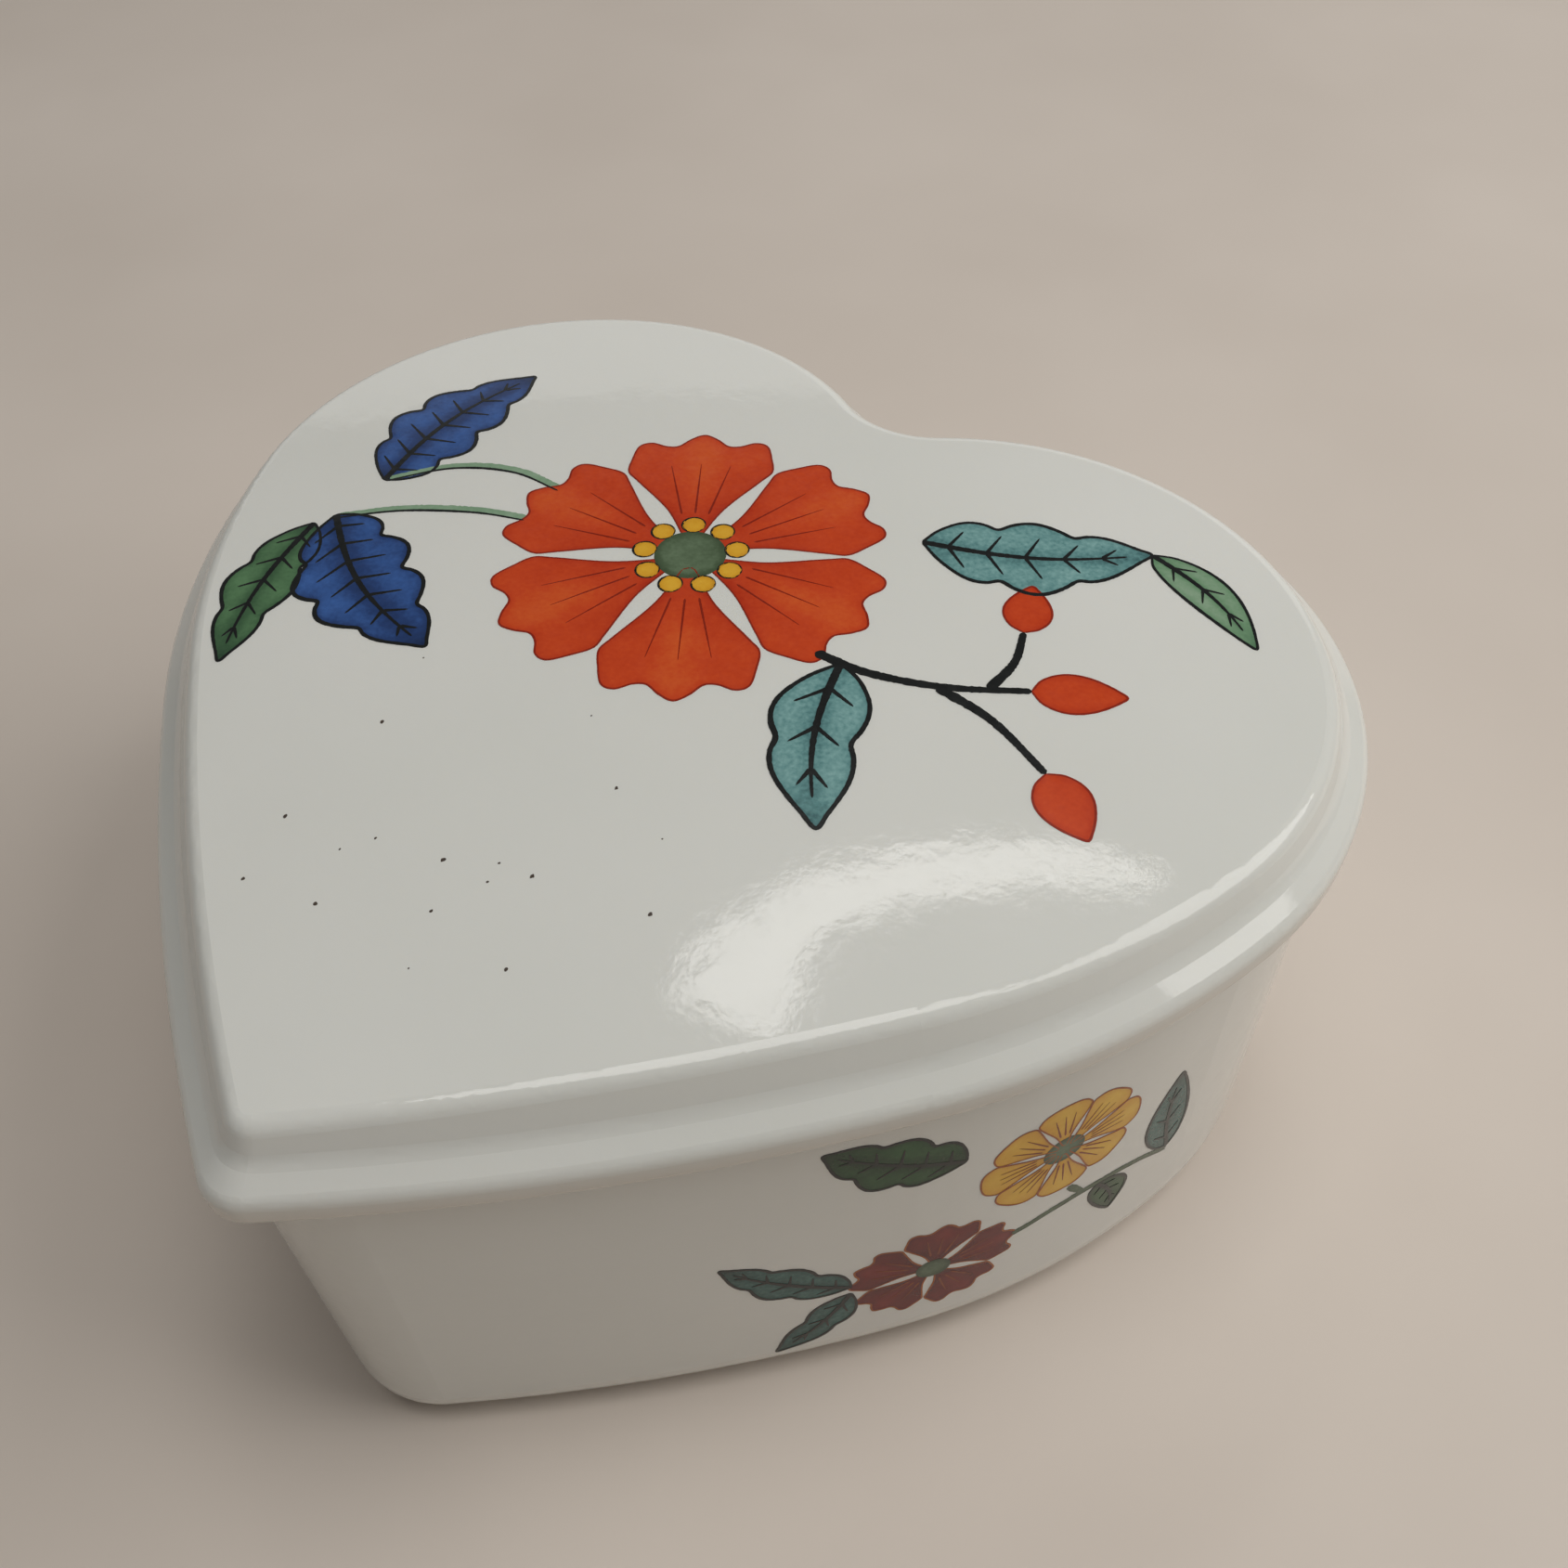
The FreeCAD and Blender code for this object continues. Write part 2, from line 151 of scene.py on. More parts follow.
def distance(places, line, closed=False):
    """Distance of each place from a line of straight pieces."""
    ends = np.roll(line, -1, 0) if closed else line[1:]
    starts = line if closed else line[:-1]
    best = np.full(len(places), 1e9)
    for a, b in zip(starts, ends):
        run = b - a
        t = np.clip(((places - a) @ run) / max(run @ run, 1e-12), 0, 1)[:, None]
        best = np.minimum(best, np.hypot(*(places - a - t * run).T))
    return best


def inside(places, ring):
    """Which of the places lie inside a closed line, by the number of times a row to one side crosses it."""
    x, y = places[:, 0], places[:, 1]
    result = np.zeros(len(places), bool)
    for (x0, y0), (x1, y1) in zip(ring, np.roll(ring, -1, 0)):
        crosses = (y0 > y) != (y1 > y)
        rise = y1 - y0 if y1 != y0 else 1e-12
        result ^= crosses & (x < (x1 - x0) * (y - y0) / rise + x0)
    return result


# ---------------------------------------------------------------- enamel: thin layers fused to a surface

# Sizes in millimetres.
SINK = 0.04  # how far a layer reaches into the glaze
LAYER_STEP = 0.0003  # how much higher each layer of a piece lies than the one before
EDGE_LIFT = 0.03  # how much higher a layer lies where it bends over the panel's edge
WASH, LINE, PEN = 0.012, 0.018, 0.024  # heights above the glaze of fills, of fine lines, and of pen and beads
STROKE_STEP = 0.18  # length of the pieces that a stroke is made of
STROKE_WAVER = 0.07  # how unevenly a stroke's width runs, as a part of it
NET_ROW = 0.866  # distance between a fill's rows of points, times their spacing
EDGE_CLEAR = 0.45  # how near the outline a fill's points come, times their spacing
LEVEL, BEND_SPAN = 0.985, 0.15  # a normal's upward part where the lift over the edge starts, and its span

RNG = np.random.default_rng(11)


class Enamel:
    """One piece made of layers of enamel. Each layer is a closed solid with a tone at every point."""

    def __init__(self, surface):
        self.surface, self.verts, self.faces, self.tone, self.normals = surface, [], [], [], []
        self.layers = 0

    def solid(self, places, triangles, height, tones):
        """Closes a flat net of triangles into a layer: its top, its underside and its edge."""
        start, count = len(self.verts), len(places)
        height += LAYER_STEP * self.layers
        low, normals = [], []
        for x, y in places:
            place, normal = self.surface(x, y)
            bend = min(max((LEVEL - normal.z) / BEND_SPAN, 0.0), 1.0) if self.surface is on_lid else 0.0
            self.verts.append(place + normal * (height + EDGE_LIFT * bend) * MM)
            low.append(place - normal * SINK * MM)
            normals.append(normal)
        self.verts += low
        self.normals += normals + [-n for n in normals]
        self.tone += list(tones) * 2
        edges = {}
        for a, b, c in triangles:
            self.faces.append((start + a, start + b, start + c))
            self.faces.append((start + count + c, start + count + b, start + count + a))
            for p, q in ((a, b), (b, c), (c, a)):
                edges[(p, q)] = True
        for p, q in edges:
            if (q, p) not in edges:
                self.faces.append((start + p, start + count + p, start + count + q, start + q))
        self.layers += 1

    def fill(self, outline, height=WASH, shades=(), rim=(0.0, 0.5), spacing=0.5):
        """A filled shape. shades are soft strokes: (points, radius, amount). rim is the amount and width of
        the shade along its own edge."""
        ring = smooth(outline, closed=True, step=min(0.25, spacing * 0.6))
        low, high = ring.min(0), ring.max(0)
        rows = np.arange(low[1], high[1], spacing * NET_ROW)
        grid = np.array([(x + (k % 2) * spacing / 2, y) for k, y in enumerate(rows)
                         for x in np.arange(low[0], high[0], spacing)])
        if len(grid):
            grid = grid[inside(grid, ring)]
            grid = grid[distance(grid, ring, True) > spacing * EDGE_CLEAR]
        every = np.concatenate([ring, grid]) if len(grid) else ring
        result = delaunay_2d_cdt([Vector(p) for p in every], [], [list(range(len(ring)))], 1, 1e-5)
        places = np.array([tuple(p) for p in result[0]])
        triangles = []
        for face in result[2]:
            a, b, c = (places[i] for i in face)
            area = (b[0] - a[0]) * (c[1] - a[1]) - (b[1] - a[1]) * (c[0] - a[0])
            if abs(area) > 1e-9:
                triangles.append(tuple(face) if area > 0 else tuple(reversed(face)))
        depth = distance(places, ring, True)
        tones = rim[0] * np.exp(-(depth / rim[1]) ** 2)
        for line, radius, amount in shades:
            near = distance(places, smooth(line, step=0.4))
            tones = tones + amount * np.exp(-(near / radius) ** 2)
        self.solid(places, triangles, height, tones)

    def stroke(self, points, widths, height=PEN, tone=0.0):
        """A brush or pen line. widths are spread along it from end to end."""
        line = smooth(points, step=STROKE_STEP)
        run = np.gradient(line, axis=0)
        run /= np.maximum(np.hypot(*run.T), 1e-9)[:, None]
        side = np.stack([-run[:, 1], run[:, 0]], 1)
        t = np.linspace(0, 1, len(line))
        width = np.interp(t, np.linspace(0, 1, len(widths)), widths)
        length = np.r_[0, np.cumsum(np.hypot(*np.diff(line, axis=0).T))]
        nearest = np.minimum(length, length[-1] - length)
        cap = np.sqrt(np.clip(1 - (1 - np.clip(nearest / (width / 2), 0, 1)) ** 2, 0.04, 1))
        width = width * cap * (1 + STROKE_WAVER * RNG.normal(0, 1, len(line)).clip(-1.5, 1.5))
        half = (width / 2)[:, None]
        places = np.concatenate([line + side * half, line, line - side * half])
        n, triangles = len(line), []
        for strip in range(2):
            for i in range(n - 1):
                a, b = strip * n + i, strip * n + i + 1
                c, d = a + n, b + n
                triangles += [(a, c, d), (a, d, b)]
        self.solid(places, triangles, height, np.full(len(places), tone))

    def piece(self, name, body, slot, material):
        """Makes the layers into one mesh object that rides on a body."""
        mesh = bpy.data.meshes.new(name)
        mesh.from_pydata([tuple(v) for v in self.verts], [], self.faces)
        layer = mesh.attributes.new("tone", "FLOAT", "POINT")
        layer.data.foreach_set("value", np.array(self.tone, np.float32))
        mesh.shade_smooth()
        mesh.materials.append(material)
        mesh.validate()
        mesh.normals_split_custom_set_from_vertices([tuple(n) for n in self.normals])
        piece = bpy.data.objects.new(name, mesh)
        bpy.context.scene.collection.objects.link(piece)
        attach(piece, body)
        return piece


# ---------------------------------------------------------------- materials

GRAIN_SIZE = 0.35  # millimetres, the size of the enamel's grain
SEAT = BASE_HIGH.z / MM  # millimetres, the height of the brim that the lid rests on


def nodes_of(name):
    """A new material with its node tree and its shader."""
    material = bpy.data.materials.new(name)
    material.use_nodes = True
    tree = material.node_tree
    shader = tree.nodes["Principled BSDF"]
    return material, tree, shader


def add(tree, kind, inputs=None, **settings):
    """A node with its settings and inputs. An input is a number, a colour or another node's socket."""
    node = tree.nodes.new(kind)
    for key, value in settings.items():
        setattr(node, key, value)
    for key, value in (inputs or {}).items():
        if isinstance(value, bpy.types.NodeSocket):
            tree.links.new(value, node.inputs[key])
        else:
            node.inputs[key].default_value = value
    return node


def ramp(tree, factor, stops):
    """A colour that runs along a factor through stops of (place, colour)."""
    node = add(tree, "ShaderNodeValToRGB", {"Fac": factor})
    elements = node.color_ramp.elements
    while len(elements) < len(stops):
        elements.new(0.5)
    for element, (place, colour) in zip(elements, stops):
        element.position, element.color = place, (*colour, 1)
    return node.outputs["Color"]


def noise(tree, place, size, detail):
    """Noise whose largest features are about size millimetres across."""
    node = add(tree, "ShaderNodeTexNoise", {"Vector": place, "Scale": 1 / (size * MM), "Detail": detail})
    return node.outputs["Fac"]


def maths(tree, operation, a, b, clamp=False):
    node = add(tree, "ShaderNodeMath", {0: a, 1: b}, operation=operation, use_clamp=clamp)
    return node.outputs[0]


def mix(tree, factor, a, b):
    """Colour a at a factor of 0, and colour b at 1."""
    node = add(tree, "ShaderNodeMix", data_type="RGBA")
    for key, value in (("Factor", factor), ("A", a), ("B", b)):
        socket = next(s for s in node.inputs
                      if s.name == key and s.type == ("VALUE" if key == "Factor" else "RGBA"))
        if isinstance(value, bpy.types.NodeSocket):
            tree.links.new(value, socket)
        else:
            socket.default_value = value if key == "Factor" else (*value, 1)
    return next(s for s in node.outputs if s.type == "RGBA")


def above(tree, value, low, high):
    """Rises from 0 to 1 as a value goes from low to high, which are in millimetres."""
    span = maths(tree, "SUBTRACT", value, low * MM)
    return maths(tree, "DIVIDE", span, (high - low) * MM, clamp=True)


def glaze(name, bare, painted_shade):
    """Clear glaze over white porcelain. bare gives, at a height, how much glaze is missing there, and the
    third argument how much painted shade darkens and warms the glaze there.
    """
    material, tree, shader = nodes_of(name)
    place = add(tree, "ShaderNodeTexCoord").outputs["Object"]
    height = add(tree, "ShaderNodeSeparateXYZ", {"Vector": place}).outputs["Z"]
    height = maths(tree, "ADD", height, maths(tree, "MULTIPLY", noise(tree, place, 1.6, 3), 0.10 * MM))
    body = ramp(tree, noise(tree, place, 28, 2),
                [(0.30, (0.775, 0.78, 0.735)), (0.70, (0.815, 0.815, 0.775))])
    cloud = noise(tree, place, 5, 4)
    body = mix(tree, maths(tree, "MULTIPLY", cloud, 0.10), body, (0.72, 0.72, 0.685))
    # Painted shade: the glaze is mixed towards a darker, warmer colour where the third argument asks.
    body = mix(tree, painted_shade(tree, height), body, (0.66, 0.585, 0.505))
    clay = ramp(tree, noise(tree, place, 0.5, 4), [(0.3, (0.70, 0.66, 0.59)), (0.7, (0.78, 0.745, 0.68))])
    missing = bare(tree, height)
    tree.links.new(mix(tree, missing, body, clay), shader.inputs["Base Color"])
    gloss = ramp(tree, noise(tree, place, 0.45, 3), [(0.3, (0.045,) * 3), (0.75, (0.085,) * 3)])
    tree.links.new(mix(tree, missing, gloss, (0.6, 0.6, 0.6)), shader.inputs["Roughness"])
    shader.inputs["IOR"].default_value = 1.5
    shader.inputs["Subsurface Weight"].default_value = 0.12
    shader.inputs["Subsurface Radius"].default_value = (1.0, 0.9, 0.75)
    shader.inputs["Subsurface Scale"].default_value = 0.0016
    wave = noise(tree, place, 9, 2)
    peel = maths(tree, "MULTIPLY", noise(tree, place, 1.3, 2), 0.22)
    grain = maths(tree, "MULTIPLY", noise(tree, place, 0.30, 3), 0.055)
    ripple = maths(tree, "ADD", maths(tree, "ADD", wave, peel), grain)
    bump = add(tree, "ShaderNodeBump", {"Height": ripple, "Strength": 0.10, "Distance": 0.0004})
    tree.links.new(bump.outputs["Normal"], shader.inputs["Normal"])
    return material


def enamel(name, stops, roughness=0.2, grain=0.10, cloud=0.18):
    """Fired enamel: its colour runs along the painted tone, with uneven wash and fine grain."""
    material, tree, shader = nodes_of(name)
    place = add(tree, "ShaderNodeTexCoord").outputs["Object"]
    tone = add(tree, "ShaderNodeAttribute", attribute_name="tone").outputs["Fac"]
    wash = maths(tree, "SUBTRACT", noise(tree, place, 2.4, 4), 0.5)
    wash = maths(tree, "MULTIPLY", wash, cloud * 4)
    speck = maths(tree, "SUBTRACT", noise(tree, place, GRAIN_SIZE, 2), 0.5)
    speck = maths(tree, "MULTIPLY", speck, grain * 4)
    value = maths(tree, "ADD", maths(tree, "ADD", tone, wash), speck)
    value = maths(tree, "ADD", maths(tree, "MULTIPLY", value, 0.5), 0.5, clamp=True)
    tree.links.new(ramp(tree, value, stops), shader.inputs["Base Color"])
    gloss = ramp(tree, noise(tree, place, 0.8, 2),
                 [(0.3, (roughness * 0.75,) * 3), (0.7, (roughness * 1.3,) * 3)])
    tree.links.new(gloss, shader.inputs["Roughness"])
    shader.inputs["IOR"].default_value = 1.4
    shader.inputs["Specular IOR Level"].default_value = 0.35
    bump = add(tree, "ShaderNodeBump",
               {"Height": noise(tree, place, 0.5, 3), "Strength": 0.12, "Distance": 0.00006})
    tree.links.new(bump.outputs["Normal"], shader.inputs["Normal"])
    return material


def lid_bare(tree, height):
    """The lid is bare on its seat and on the lip under it."""
    return maths(tree, "SUBTRACT", 1.0, above(tree, height, SEAT + 0.05, SEAT + 0.12))


def lid_painted_shade(tree, height):
    """Painted shade: the glaze is darker and warmer along the rim's lower edge."""
    edge = maths(tree, "SUBTRACT", 1.0, above(tree, height, SEAT + 0.3, SEAT + 2.0))
    return maths(tree, "MULTIPLY", edge, 0.55)


def base_bare(tree, height):
    """The base is bare on its foot and on the brim that the lid rests on."""
    foot = maths(tree, "SUBTRACT", 1.0, above(tree, height, 0.16, 0.24))
    return maths(tree, "MAXIMUM", foot, above(tree, height, SEAT - 0.10, SEAT - 0.04))


def base_painted_shade(tree, height):
    """Painted shade: the glaze is darker and warmer round the foot and just below the brim, under the lid's
    rim.
    """
    foot = maths(tree, "SUBTRACT", 1.0, above(tree, height, 0.3, 2.2))
    return maths(tree, "MULTIPLY", maths(tree, "MAXIMUM", foot, above(tree, height, SEAT - 0.7, SEAT)), 0.4)


LID.data.materials[0] = glaze("lid_glaze_look", lid_bare, lid_painted_shade)
BASE.data.materials[0] = glaze("base_glaze_look", base_bare, base_painted_shade)

ORANGE = enamel("orange_enamel", [(0.0, (0.34, 0.022, 0.008)), (0.30, (0.50, 0.040, 0.012)),
                                  (0.52, (0.63, 0.070, 0.018)), (0.78, (0.74, 0.135, 0.030)),
                                  (1.0, (0.84, 0.26, 0.060))], cloud=0.12)
RED_LINE = enamel("red_line_enamel", [(0.0, (0.20, 0.014, 0.007)), (1.0, (0.38, 0.036, 0.013))])
BLUE = enamel("blue_enamel", [(0.0, (0.012, 0.020, 0.05)), (0.35, (0.026, 0.060, 0.19)),
                              (0.6, (0.052, 0.135, 0.40)), (1.0, (0.16, 0.31, 0.66))], cloud=0.2)
GREEN = enamel("green_enamel", [(0.0, (0.02, 0.045, 0.03)), (0.35, (0.065, 0.145, 0.07)),
                                (0.6, (0.12, 0.25, 0.12)), (1.0, (0.30, 0.46, 0.27))])
DEEP_GREEN = enamel("deep_green_enamel", [(0.0, (0.006, 0.02, 0.008)), (0.4, (0.018, 0.065, 0.022)),
                                          (0.65, (0.038, 0.13, 0.04)), (1.0, (0.11, 0.24, 0.09))])
PALE_GREEN = enamel("pale_green_enamel", [(0.0, (0.05, 0.13, 0.07)), (0.35, (0.17, 0.31, 0.18)),
                                          (0.6, (0.29, 0.42, 0.29)), (1.0, (0.48, 0.57, 0.46))])
TEAL = enamel("teal_enamel", [(0.0, (0.035, 0.10, 0.11)), (0.35, (0.13, 0.29, 0.29)),
                              (0.6, (0.23, 0.43, 0.42)), (1.0, (0.45, 0.60, 0.58))], grain=0.3)
DEEP_TEAL = enamel("deep_teal_enamel", [(0.0, (0.008, 0.026, 0.024)), (0.4, (0.034, 0.105, 0.095)),
                                        (0.65, (0.075, 0.19, 0.17)), (1.0, (0.22, 0.34, 0.31))], grain=0.2)
SAGE = enamel("sage_enamel", [(0.0, (0.02, 0.035, 0.02)), (0.4, (0.075, 0.115, 0.062)),
                              (0.65, (0.16, 0.23, 0.14)), (1.0, (0.40, 0.47, 0.34))])
YELLOW = enamel("yellow_enamel", [(0.0, (0.42, 0.17, 0.012)), (0.4, (0.74, 0.38, 0.03)),
                                  (0.7, (0.85, 0.52, 0.055)), (1.0, (0.92, 0.68, 0.18))])
CRIMSON = enamel("crimson_enamel", [(0.0, (0.05, 0.002, 0.002)), (0.35, (0.115, 0.004, 0.004)),
                                    (0.6, (0.20, 0.008, 0.006)), (1.0, (0.32, 0.03, 0.02))])
RUST = enamel("rust_enamel", [(0.0, (0.07, 0.006, 0.004)), (0.35, (0.26, 0.05, 0.010)),
                              (0.6, (0.44, 0.12, 0.014)), (1.0, (0.60, 0.22, 0.03))])
SPECK = enamel("speck_look", [(0.0, (0.03, 0.022, 0.018)), (1.0, (0.14, 0.11, 0.09))], roughness=0.3)
INK = enamel("black_enamel", [(0.0, (0.008, 0.009, 0.009)), (1.0, (0.022, 0.024, 0.024))])


# ---------------------------------------------------------------- painting helpers

def path(text):
    """Points from text such as "1,2 3,4": x and y in millimetres."""
    return [tuple(float(number) for number in word.split(",")) for word in text.split()]


def leaf(root, tip, width, lobes=0, bend=0.0):
    """A leaf's outline and its midrib. lobes is how many each side has, and bend bows the midrib sideways."""
    root, tip = np.array(root, float), np.array(tip, float)
    run = tip - root
    side = np.array((-run[1], run[0])) / np.hypot(*run)
    along = np.linspace(0.0, 1.0, 6 * max(lobes, 2) + 1)
    rib = root + run * along[:, None] + side * (bend * np.sin(np.pi * along))[:, None]
    half = width / 2 * np.sin(np.pi * along ** 0.8) ** 0.8
    if lobes:
        half = half * (0.74 + 0.26 * np.abs(np.sin(np.pi * lobes * along)))
    left, right = rib + side * half[:, None], rib - side * half[:, None]
    ring = [tuple(q) for q in np.concatenate([left[:-1], right[:0:-1]])]
    return ring, [tuple(q) for q in rib]


def paint_leaf(colour, pen, root, tip, width, lobes=0, bend=0.0, line=0.26):
    """A filled leaf with a pen outline, a midrib and side veins."""
    ring, rib = leaf(root, tip, width, lobes, bend)
    colour.fill(ring, spacing=0.38, rim=(-0.35, 0.4), shades=[(rib, width * 0.12, -0.5)])
    pen.stroke(ring + ring[:1], (line * 0.7, line, line * 0.8, line * 1.1, line * 0.7))
    pen.stroke(rib[:-2], (line * 1.7, line * 1.3, line * 0.5))
    for k in range(2, len(rib) - 4, 3):
        for edge in (ring[k + 2], ring[-k - 2]):
            vein = np.array(rib[k]) + (np.array(edge) - np.array(rib[k])) * 0.62
            pen.stroke([rib[k], tuple(vein)], (line, line * 0.4))


def petal(middle, turn, radius, spread, ruffle):
    """A petal's outline, in the direction turn from a flower's middle, with a ruffled outer edge."""
    across = np.linspace(-1, 1, 15)
    edge = 1 - 0.14 * across ** 4 + ruffle * np.cos(3 * np.pi * across)
    reach = radius * np.concatenate([[0.12, 0.4, 0.7], edge, [0.7, 0.4, 0.12]])
    angle = turn + spread * np.concatenate([[-0.5, -0.75, -0.97], across, [0.97, 0.75, 0.5]])
    return [(middle[0] + r * math.cos(q), middle[1] + r * math.sin(q)) for r, q in zip(reach, angle)]


def paint_flower(colour, line, middle, radius, petals, turn=0.0, ruffle=0.05, pen=0.16):
    """A ring of filled petals with fine outlines, each shaded towards the middle."""
    step = 2 * math.pi / petals
    for k in range(petals):
        way = turn + k * step
        ring = petal(middle, way, radius, step * 0.48, ruffle)
        inner, tip = [(middle[0] + radius * r * math.cos(way), middle[1] + radius * r * math.sin(way))
                      for r in (0.2, 0.9)]
        colour.fill(ring, spacing=0.42, rim=(-0.25, 0.3),
                    shades=[([middle, inner], radius * 0.35, -0.5), ([tip, inner], radius * 0.12, 0.3)])
        line.stroke(ring + ring[:1], (pen * 0.7, pen, pen * 0.7), height=LINE)
        for lean in (-0.2, 0.0, 0.2):
            ray = [(middle[0] + radius * r * math.cos(way + lean * step),
                    middle[1] + radius * r * math.sin(way + lean * step)) for r in (0.34, 0.55, 0.78)]
            line.stroke(ray, (pen, pen * 0.8, pen * 0.3), height=LINE, tone=-0.3)


def disc(middle, radius):
    """The outline of a round spot."""
    return [(middle[0] + radius * math.cos(q), middle[1] + radius * math.sin(q))
            for q in np.linspace(0, 2 * math.pi, 13)[:-1]]


# ---------------------------------------------------------------- the lid's flowers

# The outlines are formulas. The places still follow the photograph's painting.
orange, redline, blue = Enamel(on_lid), Enamel(on_lid), Enamel(on_lid)
green, teal, sage = Enamel(on_lid), Enamel(on_lid), Enamel(on_lid)
yellow, ink, pale = Enamel(on_lid), Enamel(on_lid), Enamel(on_lid)

# A big open flower near the middle of the lid, with a green heart and a ring of yellow beads.
FLOWER, FLOWER_RADIUS, HEART_RADIUS = (-4.0, 12.0), 14.0, 2.6
BEADS, BEAD_RADIUS, BEAD_RING = 9, 0.85, 3.4
paint_flower(orange, redline, FLOWER, FLOWER_RADIUS, 6)
sage.fill(disc(FLOWER, HEART_RADIUS), spacing=0.35, height=PEN, rim=(-0.4, 0.4))
for turn in np.linspace(0, 2 * math.pi, BEADS + 1)[:-1]:
    bead = disc((FLOWER[0] + BEAD_RING * math.cos(turn), FLOWER[1] + BEAD_RING * math.sin(turn)), BEAD_RADIUS)
    yellow.fill(bead, height=PEN, spacing=0.3, rim=(-0.35, 0.25))
    ink.stroke(bead + bead[:1], (0.1, 0.18, 0.1))

# Two stems to the left, with blue leaves and a green one.
for stem in ("-17,9.5 -21,8.4 -26,6 -30,3", "-17,13.6 -21.5,13.8 -26,12 -29.6,8.4"):
    pale.stroke(path(stem), (0.6, 0.75, 0.6), height=WASH)
    ink.stroke([(x, y - 0.34) for x, y in path(stem)], (0.14, 0.26, 0.16))
paint_leaf(blue, ink, (-29.8, 8), (-28.5, 25), 8.5, lobes=4, bend=1.4, line=0.3)
paint_leaf(blue, ink, (-30.2, 3), (-14.5, -5), 9.0, lobes=4, bend=-1.4, line=0.32)
paint_leaf(green, ink, (-31, 1.5), (-26.5, -13), 5.6, lobes=3, bend=-0.8, line=0.28)

# A dark twig to the right, with leaves and three berries.
for twig in ("9,8 13,8.2 18,9.8 23,12.6", "17.5,9.5 22,8.8 27,6.6", "20.5,11.2 20.8,14.4 20,17.4"):
    ink.stroke(path(twig), (0.8, 0.6, 0.5))
for root, tip, width in (((23, 12.6), (28.6, 15.6), 3.6), ((27, 6.6), (31.6, 3.2), 3.8),
                         ((20, 17.4), (18.4, 22), 3.4)):
    ring, _ = leaf(root, tip, width)
    orange.fill(ring, spacing=0.4, rim=(-0.3, 0.35))
    redline.stroke(ring + ring[:1], (0.14, 0.18, 0.14), height=LINE)
paint_leaf(teal, ink, (11, 8), (17, -5), 6.8, lobes=2, bend=-1.0, line=0.36)
paint_leaf(teal, ink, (9.5, 22), (24, 30), 8.0, lobes=3, bend=-1.2, line=0.3)
paint_leaf(pale, ink, (24, 30), (34, 25), 3.6, bend=0.8, line=0.24)

for piece, name, slot, look in (
        (orange, "lid_petals", "orange_enamel", ORANGE),
        (redline, "lid_petal_lines", "red_enamel", RED_LINE),
        (blue, "lid_blue_leaves", "blue_enamel", BLUE),
        (green, "lid_green_leaves", "green_enamel", GREEN),
        (teal, "lid_teal_leaves", "teal_enamel", TEAL),
        (sage, "lid_pod_and_stems", "green_enamel", SAGE),
        (yellow, "lid_beads", "yellow_enamel", YELLOW),
        (ink, "lid_outlines", "black_enamel", INK),
        (pale, "lid_pale_leaf", "green_enamel", PALE_GREEN)):
    piece.piece(name, "lid", slot, look)


# ---------------------------------------------------------------- the base's flowers

class Spray:
    """The painted spray of the base's wall: one piece of enamel for each colour. Its places also follow the
    photograph's painting."""

    def __init__(self):
        names = ("red", "yellow", "green", "teal", "sage", "rust", "ink")
        self.colours = {name: Enamel(on_wall) for name in names}

    def paint(self, shift):
        """Paints the spray, moved along the wall. Points are distance round from the heart's point, then
        height."""
        for piece in self.colours.values():
            piece.surface = lambda along, up: on_wall(along + shift, up)
        red, yellow, green, teal, sage, rust, ink = self.colours.values()

        low_flower, high_flower = (41, 13), (50, 24)
        paint_flower(red, rust, low_flower, 6.0, 5, turn=0.2, ruffle=0.06)
        sage.fill(disc(low_flower, 1.3), spacing=0.3, height=PEN, rim=(-0.5, 0.4))
        paint_flower(yellow, rust, high_flower, 6.2, 8, turn=0.1, ruffle=0.0, pen=0.14)
        sage.fill(disc(high_flower, 1.6), spacing=0.3, height=PEN, rim=(-0.5, 0.4))
        for stem in ("47,14 52,15.4 57,15.2 61,13.4", "51.2,17.6 52.6,15.6"):
            sage.stroke(path(stem), (0.6, 0.7, 0.5), tone=-0.2)
            ink.stroke([(x, y - 0.3) for x, y in path(stem)], (0.14, 0.24, 0.14))
        for colour, root, tip, width, lobes in (
                (green, (42.5, 28), (33, 33.5), 6.2, 3), (teal, (35, 13.4), (26, 20.5), 4.4, 3),
                (teal, (35, 12.4), (29.5, 5), 3.8, 2), (teal, (61, 13.6), (60, 25), 4.0, 0),
                (green, (54, 15.2), (56, 9.6), 3.2, 0)):
            paint_leaf(colour, ink, root, tip, width, lobes, bend=0.6, line=0.26)

    def place(self):
        """Makes one object of each colour."""
        for name, slot, look in (("red", "red_enamel", CRIMSON), ("yellow", "yellow_enamel", YELLOW),
                                 ("green", "green_enamel", DEEP_GREEN), ("teal", "teal_enamel", DEEP_TEAL),
                                 ("sage", "green_enamel", SAGE), ("rust", "orange_enamel", RUST),
                                 ("ink", "black_enamel", INK)):
            self.colours[name].piece(f"base_{name}", "base", slot, look)


spray = Spray()
spray.paint(0)
spray.paint(HALF_ROUND)
spray.place()


# ---------------------------------------------------------------- specks fired into the lid's glaze

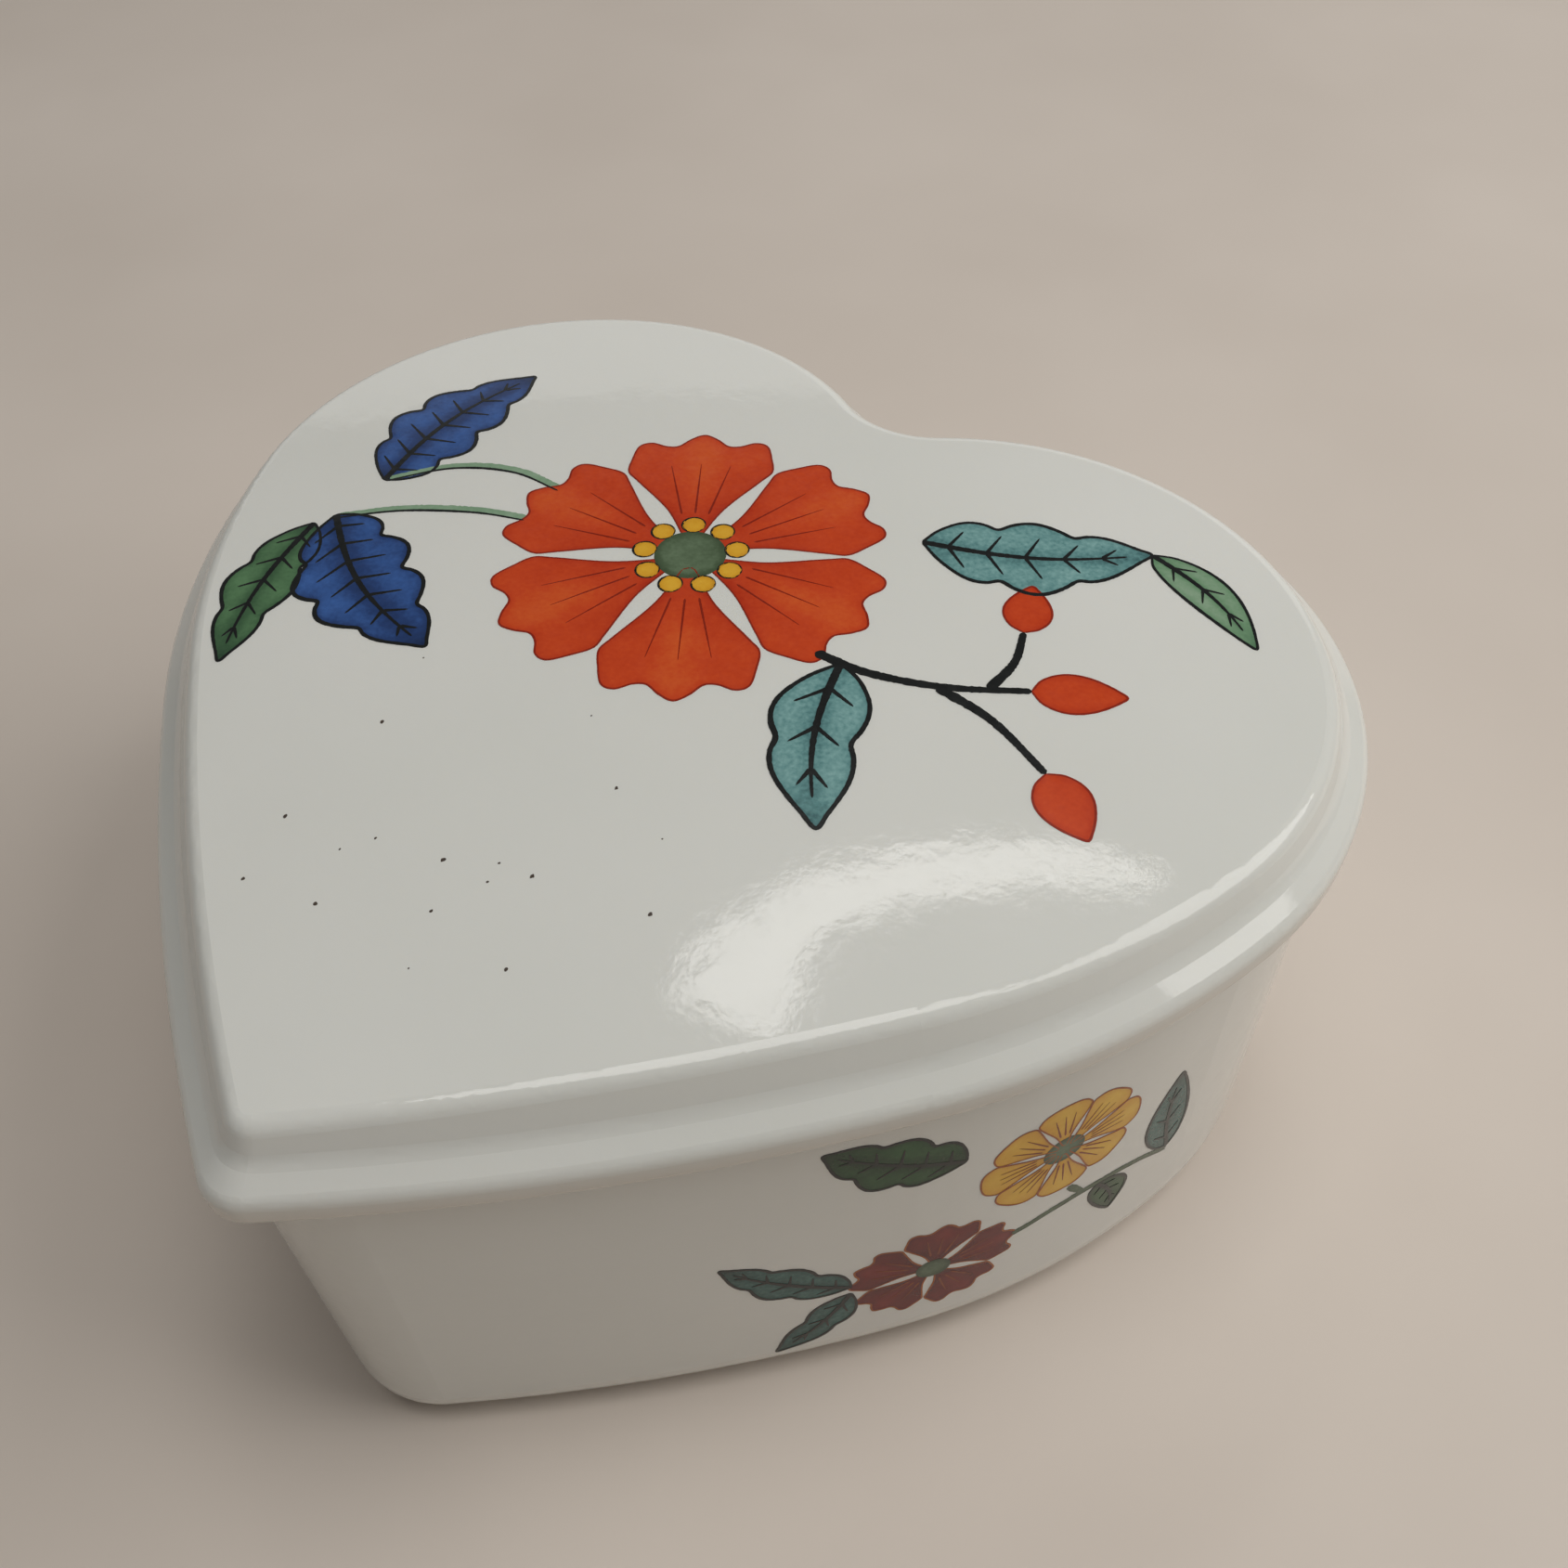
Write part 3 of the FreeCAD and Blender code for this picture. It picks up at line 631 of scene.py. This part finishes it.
SPECK_COUNT, SPECK_HEIGHT = 18, 0.006
specks = Enamel(on_lid)
for _ in range(SPECK_COUNT):
    x, y, radius = RNG.uniform(-16, 16), RNG.uniform(-26, -4), RNG.uniform(0.05, 0.15)
    turns = RNG.uniform(0.75, 1.3, 8)
    ring = [(x + radius * r * math.cos(k * math.pi / 4), y + radius * r * 1.2 * math.sin(k * math.pi / 4))
            for k, r in enumerate(turns)]
    specks.fill(ring, height=SPECK_HEIGHT, spacing=0.1)
specks.piece("lid_specks", "lid", "body_specks", SPECK)


# ---------------------------------------------------------------- floor, lights and camera

FLOOR_SIZE, FLOOR_CELLS = 3.0, 60
bpy.ops.mesh.primitive_grid_add(x_subdivisions=FLOOR_CELLS, y_subdivisions=FLOOR_CELLS, size=FLOOR_SIZE)
floor = bpy.context.object
floor.name = "floor"
cloth, tree, shader = nodes_of("floor_look")
place = add(tree, "ShaderNodeTexCoord").outputs["Object"]
tree.links.new(ramp(tree, noise(tree, place, 60, 3), [(0.3, (0.70, 0.62, 0.55)), (0.7, (0.76, 0.68, 0.61))]),
               shader.inputs["Base Color"])
shader.inputs["Roughness"].default_value = 0.75
floor.data.materials.append(cloth)

world = bpy.data.worlds.new("studio")
bpy.context.scene.world = world
world.use_nodes = True
world.node_tree.nodes["Background"].inputs["Color"].default_value = (1.0, 0.99, 0.965, 1)
world.node_tree.nodes["Background"].inputs["Strength"].default_value = 0.07


def lamp(name, place, turn, size, brightness, colour):
    """A soft rectangular lamp. brightness is what each part of its face gives: a larger lamp gives more."""
    data = bpy.data.lights.new(name, "AREA")
    data.shape = "RECTANGLE"
    data.size, data.size_y = size
    data.energy = brightness * size[0] * size[1] * math.pi
    data.color = colour
    obj = bpy.data.objects.new(name, data)
    obj.matrix_world = Matrix.Translation(place) @ turn
    bpy.context.scene.collection.objects.link(obj)


def facing(place, target):
    """The turn that points a lamp at a target."""
    return (Vector(target) - Vector(place)).to_track_quat("-Z", "Y").to_matrix().to_4x4()


STRIP_HEIGHT, STRIP_STEP = 0.85, 0.028  # metres above the floor, and the length of each lamp in the strip


def lamp_strip(name, stations, brightness):
    """Lamps end to end overhead, through stations of (x, y, width), whose reflection crosses the dome."""
    line = smooth([s[:2] for s in stations], step=STRIP_STEP)
    corners = np.array([s[:2] for s in stations])
    at, corner_at = (np.append(0, np.cumsum(np.hypot(*np.diff(row, axis=0).T))) for row in (line, corners))
    widths = np.interp(at / at[-1], corner_at / corner_at[-1], [s[2] for s in stations])
    for k in range(len(line) - 1):
        start, end = Vector((*line[k], STRIP_HEIGHT)), Vector((*line[k + 1], STRIP_HEIGHT))
        run = end - start
        lamp(f"{name}_{k}", (start + end) / 2, Matrix.Rotation(math.atan2(run.y, run.x), 4, "Z"),
             (run.length, (widths[k] + widths[k + 1]) / 2), brightness, (1.0, 0.98, 0.95))


lamp_strip("window", ((-0.23, 0.30, 0.10), (-0.23, 0.42, 0.07), (-0.13, 0.55, 0.055), (0.0, 0.63, 0.02)), 4.6)

WARM = (1.0, 0.985, 0.955)
BOX_MIDDLE = (0, 0, 0.03)
for name, place, size, brightness in (("key", (0.37, 0.22, 0.45), (0.42, 0.42), 2.9),
                                      ("overhead", (0.11, -0.02, 0.95), (0.5, 0.5), 3.3),
                                      ("backdrop", (-0.75, 1.35, 0.42), (2.4, 0.8), 0.62)):
    lamp(name, place, facing(place, BOX_MIDDLE), size, brightness, WARM)

CAMERA_PLACE, LENS = (0.05152, -0.05969, 0.12175), 37.59
AZIMUTH, ELEVATION, ROLL = (math.radians(a) for a in (33.901, 48.578, -2.225))
camera_data = bpy.data.cameras.new("camera")
camera = bpy.data.objects.new("camera", camera_data)
bpy.context.scene.collection.objects.link(camera)
bpy.context.scene.camera = camera
back = Vector((math.sin(AZIMUTH) * math.cos(ELEVATION), -math.cos(AZIMUTH) * math.cos(ELEVATION),
               math.sin(ELEVATION)))
right = (-back).cross(Vector((0, 0, 1))).normalized()
up = right.cross(-back)
turned_right = math.cos(ROLL) * right + math.sin(ROLL) * up
turned_up = math.cos(ROLL) * up - math.sin(ROLL) * right
camera.matrix_world = Matrix.Translation(CAMERA_PLACE) @ Matrix(
    (turned_right, turned_up, back)).transposed().to_4x4()
camera_data.lens = LENS
camera_data.sensor_width = 36
camera_data.clip_start, camera_data.clip_end = 0.005, 20
bpy.context.scene.view_settings.view_transform = "Standard"
